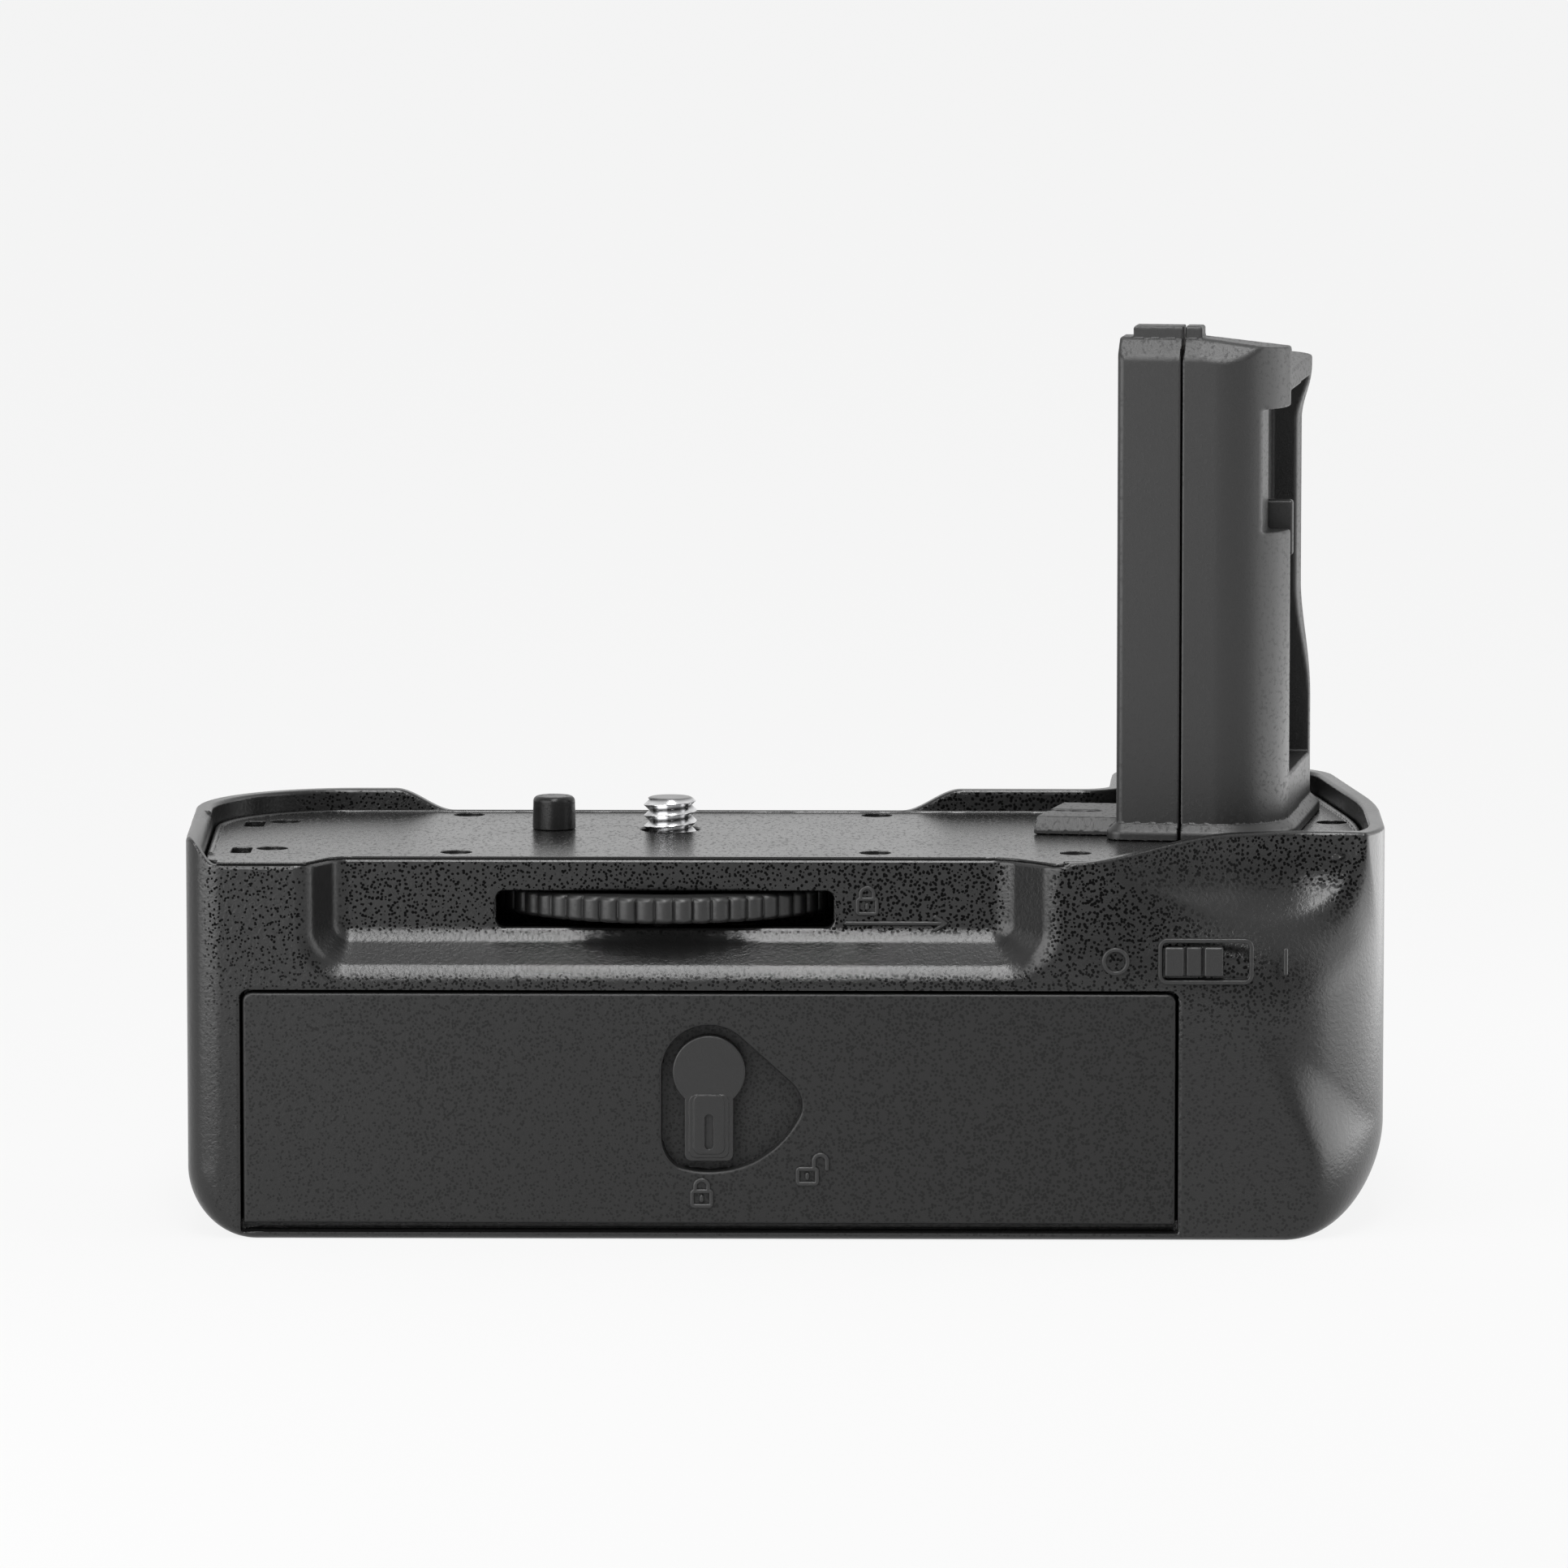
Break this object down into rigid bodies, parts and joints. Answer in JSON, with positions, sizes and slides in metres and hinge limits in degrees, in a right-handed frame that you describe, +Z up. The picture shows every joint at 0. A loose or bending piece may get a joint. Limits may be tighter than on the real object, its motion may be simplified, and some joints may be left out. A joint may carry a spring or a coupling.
{
  "type": "camera battery grip",
  "caption": "Low camera battery grip with a slide-out battery tray, turn latch, thumbwheel geared to a camera screw, locating pin, slide switch and battery-shaped stalk.",
  "frame": {"origin": "centre of the tripod socket's mouth in the flat base, on the camera screw axis", "axes": "+X to the right as seen from the rear, +Y away from the rear face, +Z up along the camera screw"},
  "size_m": [0.1388, 0.0744, 0.1033],
  "materials": {
    "shell": "pebbled",
    "deck": "satin",
    "grip_rubber": "textured",
    "screws": "black",
    "bright_metal": "turned",
    "gears": "cut",
    "wheel": "satin",
    "inner_plastic": "plain",
    "contacts": "plated",
    "plate": "rolled",
    "socket": "turned",
    "stalk": "satin",
    "board": "lacquered",
    "knob": "satin",
    "pin": "black satin"
  },
  "bodies": {
    "housing": {"main_housing": "shell", "grip_rubber": "grip_rubber", "top_deck": "deck", "deck_screws": "screws", "locating_pin": "pin", "wheel_axle": "gears", "wheel_washer": "gears", "bay_frame": "inner_plastic", "contact_block": "inner_plastic", "bay_contacts": "contacts", "base_plate": "plate", "tripod_socket": "socket", "base_screws": "screws", "stalk_left_shell": "stalk", "stalk_right_shell": "stalk", "stalk_clip": "stalk", "terminal_block": "inner_plastic", "stalk_terminals": "contacts", "stalk_screws": "screws", "ribbon_cable": "inner_plastic", "circuit_board": "board", "board_screws": "screws", "switch_module": "plate"},
    "wheel": {"lock_wheel": "wheel", "wheel_gear": "gears"},
    "screw": {"camera_screw": "bright_metal", "screw_gear": "gears"},
    "tray": {"tray_front": "shell", "tray_frame": "inner_plastic", "tray_contacts": "contacts", "tray_screws": "screws"},
    "latch": {"latch_knob": "knob", "latch_tongue": "plate", "latch_screw": "screws"},
    "switch": {"switch_knob": "knob"}
  },
  "joints": [
    {"name": "wheel_spin", "type": "hinge", "parent": "housing", "child": "wheel", "pos_m": [0, -0.0088, 0.03745], "axis": [0, 0, 1], "continuous": true},
    {"name": "screw_spin", "type": "hinge", "parent": "housing", "child": "screw", "pos_m": [0, 0, 0.0435], "axis": [0, 0, 1], "continuous": true},
    {"name": "tray_slide", "type": "slide", "parent": "housing", "child": "tray", "axis": [0, -1, 0], "range_m": [0, 0.045]},
    {"name": "latch_turn", "type": "hinge", "parent": "tray", "child": "latch", "pos_m": [0.00515, -0.0298, 0.0194], "axis": [0, -1, 0], "range_deg": [0, 49]},
    {"name": "switch_slide", "type": "slide", "parent": "housing", "child": "switch", "axis": [1, 0, 0], "range_m": [0, 0.0025]}
  ],
  "couplings": [
    {"joint": "screw_spin", "follows": "wheel_spin", "ratio": -1}
  ]
}
